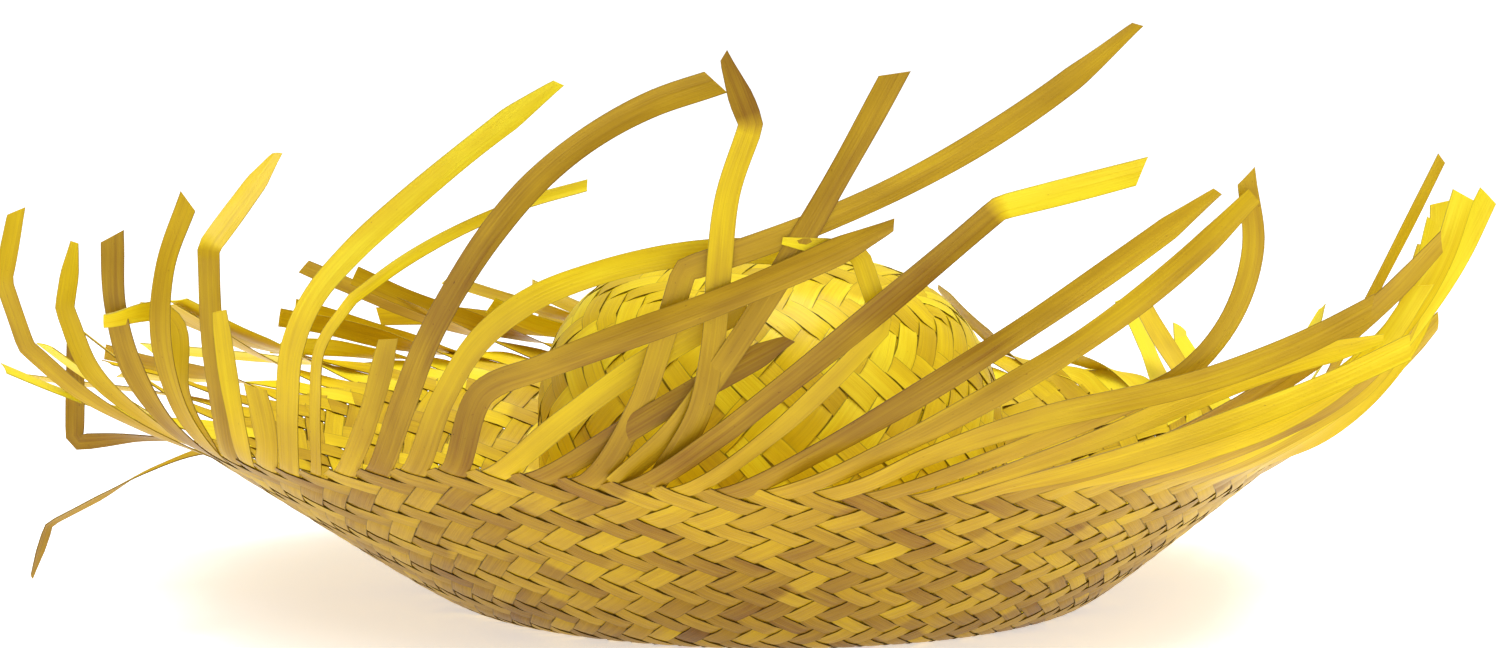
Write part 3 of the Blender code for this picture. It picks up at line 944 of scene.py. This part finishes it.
@dataclass
class LooseStrips:
    """The strips that run on past the rim, long and loose."""

    brim: BrimPlait
    strip_width: float = 0.0086
    loose_length: float = 0.200
    root_length: float = 0.011
    run_length: float = 0.025
    least_runs: int = 3
    step_length: float = 0.0036
    tail_rings: tuple[float, ...] = (27.33, 27.67, 28.0, 28.55)
    sharp_turn: float = 0.45
    fold_turn: float = 0.42
    fold_softness: float = 0.06
    # A gap between knots of less than this many soft parts of a run belongs to a fold.
    fold_gap: float = 2.2
    # The share of a strip over which its colour changes at a fold, and else its middle.
    fold_share: float = 0.02
    middle_share: float = 0.45
    thickness: float = 0.00045
    camber: float = 0.0003
    curls: tuple[float, float] = (0.4, 1.8)
    # The width swells and shrinks by this share, with this many radians along a strip.
    wave: float = 0.04
    wave_turn: float = 17.0
    tip_widths: tuple[float, ...] = (1.0, 1.0, 0.9, 0.75, 0.4)
    tip_from: float = 0.90
    tip_slant: float = 0.8
    length_spread: float = 0.022
    turn_spread: float = 14.0
    climb_spread: float = 9.0
    tip_climb_spread: float = 18.0
    roll_spread: float = 30.0
    # The strips at the back turn their faces this far towards the front.
    back_roll: float = 110.0
    dyes: tuple[float, ...] = (0.52, 0.58, 0.66, 0.72, 0.78, 0.84, 0.90, 0.96)
    # The other strips are painted darker at the root, which lies in shade, and lighter at the tip,
    # which catches the light.
    painted_light_rise: float = 0.08
    seed: int = 11

    def rows(self) -> list[tuple]:
        """Lists every loose strip: the drawn ones, then the others.

        Returns:
            Rows like those of STRIPS.
        """
        rows = list(STRIPS)
        drawn = {row[0] for row in STRIPS}
        chance = random.Random(self.seed)
        dye = random.Random(self.seed + 1)
        for place in range(self.brim.strips):
            if place in drawn:
                continue
            bearing = self.brim.first_bearing + place * 360 / self.brim.strips
            length, turn, start, tip = (round_the_hat(LIE, bearing, i) for i in range(1, 5))
            length += chance.uniform(-self.length_spread, self.length_spread) / self.loose_length
            turn += chance.uniform(-self.turn_spread, self.turn_spread)
            start += chance.uniform(-self.climb_spread, self.climb_spread)
            tip += chance.uniform(-self.tip_climb_spread, self.tip_climb_spread)
            middle = (start + tip) / 2 + chance.uniform(-self.climb_spread, self.climb_spread)
            later = turn + chance.uniform(-self.turn_spread, self.turn_spread)
            roll = chance.uniform(-self.roll_spread, self.roll_spread)
            roll += self.back_roll * max(math.sin(math.radians(bearing)), 0)
            tone = dye.choice(self.dyes)
            # Painted shade at the root and painted light at the tip.
            tones = (tone - self.painted_light_rise, tone, tone + self.painted_light_rise)
            row = (place, length, 1.0, turn, start, turn, middle, later, tip, roll, 1.0, 0)
            rows.append(row + tones)
        return rows

    def stations(self, row: tuple) -> list[tuple[Vector, Vector]]:
        """Steps along a loose strip as its solid does.

        Args:
            row: The strip's row.

        Returns:
            A point and an outward normal for each step, from the root to the tip.
        """
        place, length = row[:2]
        turns, climbs = row[3:9:2], row[4:9:2]
        roll, kink_at, kink_by = row[9:12]
        root = self.brim.root_ring()
        bearing = self.brim.bearing(place, root, Lean.RIGHTWARD)
        point, normal = self.brim.spot(root, bearing)
        nudge = 0.02
        around = self.brim.spot(root, bearing + nudge)[0] - point
        up = self.brim.spot(root + nudge, bearing)[0] - point
        plait = math.radians(self.brim.plait_angle)
        along = around.normalized() * math.cos(plait) + up.normalized() * math.sin(plait)
        runs = max(self.least_runs, round(self.loose_length * length / self.run_length))
        run = self.loose_length * length / runs
        found = []
        for step in range(runs + 2):
            share = max(step - 1, 0) / runs
            turned = Quaternion(along, math.radians(roll * min(2 * share, 1))) @ normal
            found.append((point, turned.normalized()))
            if step == 0:
                point = point + along * self.root_length
                continue
            middle = share + 0.5 / runs
            heading = math.radians(bearing + 90 + np.interp(middle, (0, 0.5, 1), turns))
            climb = np.interp(middle, (0, 0.5, 1), climbs)
            climb = math.radians(climb + (kink_by if middle > kink_at else 0))
            flat = math.cos(climb)
            ahead = Vector((flat * math.cos(heading), flat * math.sin(heading), math.sin(climb)))
            normal = along.rotation_difference(ahead) @ normal
            along = ahead
            point = point + along * run
        return found

    def tail(self, place: float) -> list[tuple[Vector, Vector]]:
        """Steps along the plaited stretch from which a strip comes loose.

        Args:
            place: Which strip, counted round the rim.

        Returns:
            A point and an outward normal for each step, the last under the last slanting row.
        """
        found = []
        for ring in self.tail_rings:
            bearing = self.brim.bearing(place, ring, Lean.RIGHTWARD)
            point, normal = self.brim.spot(ring, bearing)
            found.append((point + normal * self.brim.height(Lean.RIGHTWARD, ring), normal))
        return found

    def knots(self, row: tuple) -> list[tuple[Vector, Vector]]:
        """Picks the points that a loose strip's smooth line passes.

        A strip that turns off sharply at the rim leaves out the step at the rim's edge, and a
        fold gets a close point on both sides, which keeps it crisp.

        Args:
            row: The strip's row.

        Returns:
            A point and an outward normal for each knot, from the root to the tip.
        """
        place = row[0]
        stations = self.stations(row)
        root, edge, first = (station[0] for station in stations[:3])
        turn = (edge - root).angle(first - edge)
        if place == int(place):
            start = self.tail(place) + ([] if turn > self.sharp_turn else stations[1:2])
        else:
            start = stations[:1] if turn > self.sharp_turn else stations[:2]
        rest = stations[2:]
        folds = [
            index
            for index in range(1, len(rest) - 1)
            if (rest[index][0] - rest[index - 1][0]).angle(rest[index + 1][0] - rest[index][0])
            > self.fold_turn
        ]
        smooth = []
        for index, (point, normal) in enumerate(rest):
            if index in folds:
                for other in (rest[index - 1][0], rest[index + 1][0]):
                    smooth.append((point.lerp(other, self.fold_softness), normal))
            else:
                smooth.append((point, normal))
        return start + smooth

    def line(self, row: tuple) -> tuple[np.ndarray, np.ndarray, np.ndarray, list[float]]:
        """Draws a loose strip's middle line: smooth, but straight up to a fold and on from it.

        Args:
            row: The strip's row.

        Returns:
            Its points, their normals, their shares of its length, and the shares of its folds.
        """
        knots = self.knots(row)
        corners = np.array([knot[0] for knot in knots])
        outward = np.array([knot[1] for knot in knots])
        run = np.append(0, np.cumsum(np.linalg.norm(np.diff(corners, axis=0), axis=1)))
        slopes = np.gradient(corners, run, axis=0)
        gaps = np.diff(run)
        chords = np.diff(corners, axis=0) / gaps[:, None]
        fold_gap = self.fold_gap * self.fold_softness * self.run_length
        folds = []
        for index in range(len(self.tail_rings) + 1, len(gaps)):
            if min(gaps[index - 1 : index + 1]) < fold_gap:
                slopes[index] = chords[index - 1 + int(gaps[index] > gaps[index - 1])]
                folds.append(run[index] / run[-1])
        rows = round(run[-1] / self.step_length) + 1
        places = np.linspace(0, run[-1], rows)
        at = np.clip(np.searchsorted(run, places, side="right") - 1, 0, len(run) - 2)
        span = (run[at + 1] - run[at])[:, None]
        t = (places - run[at])[:, None] / span
        points = corners[at] * (2 * t**3 - 3 * t**2 + 1) + corners[at + 1] * (3 * t**2 - 2 * t**3)
        points += slopes[at] * span * (t**3 - 2 * t**2 + t)
        points += slopes[at + 1] * span * (t**3 - t**2)
        normals = np.stack([np.interp(places, run, outward[:, i]) for i in range(3)], axis=1)
        return points, normals, places / run[-1], folds

    def path(self, row: tuple, chance: random.Random) -> StripPath:
        """Works out one loose strip with its widths, its tones, a curl and a cut tip.

        Args:
            row: The strip's row.
            chance: The source of its small irregularities.

        Returns:
            The strip's path.
        """
        points, normals, shares, folds = self.line(row)
        half = self.strip_width * row[2] / 2
        turns = shares * self.wave_turn + chance.uniform(0, math.tau)
        halves = half * (1 + self.wave * np.sin(turns))
        tip = chance.choice(self.tip_widths)
        past = (shares - self.tip_from) / (1 - self.tip_from)
        halves *= 1 - (1 - tip) * np.clip(past, 0, 1)
        # The camber of the plait gives way to the strip's own curl over its first third.
        curl = chance.choice((-1, 1)) * chance.uniform(*self.curls)
        cambers = self.camber * (1 + (curl - 1) * np.clip(shares * 3, 0, 1))
        first, middle, last = row[12:]
        tones = np.interp(shares, (0, self.middle_share, 1), (first, middle, last))
        if row[10] < 1 and folds:
            # A fold turns another face to the light, so the colour changes there at once.
            stops = (0, folds[-1] - self.fold_share, folds[-1], 1)
            tones = np.interp(shares, stops, (first, middle, last, last))
        slant = chance.uniform(-self.tip_slant, self.tip_slant)
        return StripPath(points, normals, halves, tones, cambers, slant)

    def build(self, name: str, chance: random.Random) -> bpy.types.Object:
        """Lays all the loose strips.

        Args:
            name: The piece's name.
            chance: The source of their irregularities.

        Returns:
            The finished piece.
        """
        bench = StripBench(4, self.thickness, chance)
        for row in self.rows():
            bench.lay(self.path(row, chance))
        return bench.gather(name, LOOSE_STRAW, LOOSE_INSIDE)


@dataclass
class Studio:
    """The pale floor, the soft lights and the camera."""

    distance: float = 1.55
    elevation: float = 6.0
    lens: float = 92.6
    sensor_width: float = 36.0
    aim: tuple[float, float, float] = (0.0084, -0.0250, 0.1089)
    floor_size: float = 60.0
    floor_colour: str = "FFFFFF"
    floor_roughness: float = 0.9
    floor_glow: float = 0.52
    sky_strength: float = 0.34
    sun_strength: float = 1.1
    sun_spread: float = 70.0
    sun_tilt: float = 12.0
    # Place, side and power of each soft box.
    boxes: tuple[tuple[tuple[float, float, float], float, float], ...] = (
        ((0.3, -0.1, 1.9), 1.2, 24.0),
        ((1.5, -1.2, 1.0), 1.2, 5.0),
    )

    def place_camera(self) -> None:
        """Stands the camera at the photograph's angle and distance."""
        data = bpy.data.cameras.new("photo_camera")
        data.lens = self.lens
        data.sensor_fit = "HORIZONTAL"
        data.sensor_width = self.sensor_width
        camera = bpy.data.objects.new("photo_camera", data)
        up = math.radians(self.elevation)
        offset = Vector((0, -math.cos(up), math.sin(up))) * self.distance
        camera.location = Vector(self.aim) + offset
        camera.rotation_euler = (-offset).to_track_quat("-Z", "Y").to_euler()
        bpy.context.scene.collection.objects.link(camera)
        bpy.context.scene.camera = camera

    def lay_floor(self) -> None:
        """Lays a floor of matt white paint, evenly bright and without a gloss."""
        bpy.ops.object.select_all(action="DESELECT")
        bpy.ops.mesh.primitive_plane_add(size=self.floor_size, location=(0, 0, 0))
        floor = bpy.context.object
        floor.name = "studio_floor"
        material = bpy.data.materials.new("white_studio_floor")
        material.use_nodes = True
        shader = material.node_tree.nodes["Principled BSDF"]
        shader.inputs["Base Color"].default_value = linear(self.floor_colour)
        shader.inputs["Roughness"].default_value = self.floor_roughness
        shader.inputs["Emission Color"].default_value = linear(self.floor_colour)
        shader.inputs["Emission Strength"].default_value = self.floor_glow
        floor.data.materials.append(material)

    def hang_light(self, place: tuple, size: float, power: float) -> None:
        """Hangs one soft square light that faces the hat.

        Args:
            place: The point where it hangs.
            size: The length of its side.
            power: Its power in watts.
        """
        data = bpy.data.lights.new("soft_box", "AREA")
        data.size = size
        data.energy = power
        light = bpy.data.objects.new("soft_box", data)
        light.location = place
        facing = Vector(self.aim) - Vector(place)
        light.rotation_euler = facing.to_track_quat("-Z", "Y").to_euler()
        bpy.context.scene.collection.objects.link(light)

    def hang_sun(self) -> None:
        """Lights hat and floor from high up, as softly as a white ceiling does."""
        data = bpy.data.lights.new("ceiling", "SUN")
        data.energy = self.sun_strength
        data.angle = math.radians(self.sun_spread)
        light = bpy.data.objects.new("ceiling", data)
        light.rotation_euler = (math.radians(self.sun_tilt), 0, 0)
        bpy.context.scene.collection.objects.link(light)

    def build(self) -> None:
        """Sets up the floor, the surrounding light, the soft boxes and the camera."""
        world = bpy.data.worlds.new("white_room")
        world.use_nodes = True
        sky = world.node_tree.nodes["Background"]
        sky.inputs["Color"].default_value = linear(self.floor_colour)
        sky.inputs["Strength"].default_value = self.sky_strength
        bpy.context.scene.world = world
        bpy.context.scene.view_settings.view_transform = "Standard"
        self.lay_floor()
        for box in self.boxes:
            self.hang_light(*box)
        self.hang_sun()
        self.place_camera()


def report(piece: bpy.types.Object, node: str) -> None:
    """Puts a finished piece in the frame and logs it.

    Args:
        piece: The piece.
        node: The solid that it stands for.
    """
    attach(piece, "root")
    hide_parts(node)
    piece.data.calc_loop_triangles()
    log.info("%s: %d triangles", piece.name, len(piece.data.loop_triangles))


# Each seed fixes one piece's small irregularities. The brim's is one less and one more for the
# strips of the two leans.
CROWN_SEED, BRIM_SEED, LOOSE_SEED = 3, 5, 8


def main() -> None:
    """Builds the crown, the brim and the loose strips in order, then the studio."""
    logging.basicConfig(level=logging.INFO, format="%(message)s")
    crown = CrownPlait()
    report(crown.build("crown_plait", random.Random(CROWN_SEED)), "crown")
    brim = BrimPlait()
    for lean, name in ((Lean.RIGHTWARD, "brim_plait_right"), (Lean.LEFTWARD, "brim_plait_left")):
        chance = random.Random(BRIM_SEED + lean.value)
        report(brim.build(lean, name, chance), "brim")
    loose = LooseStrips(brim)
    report(loose.build("loose_strips", random.Random(LOOSE_SEED)), "fringe")
    Studio().build()


if __name__ == "__main__":
    main()
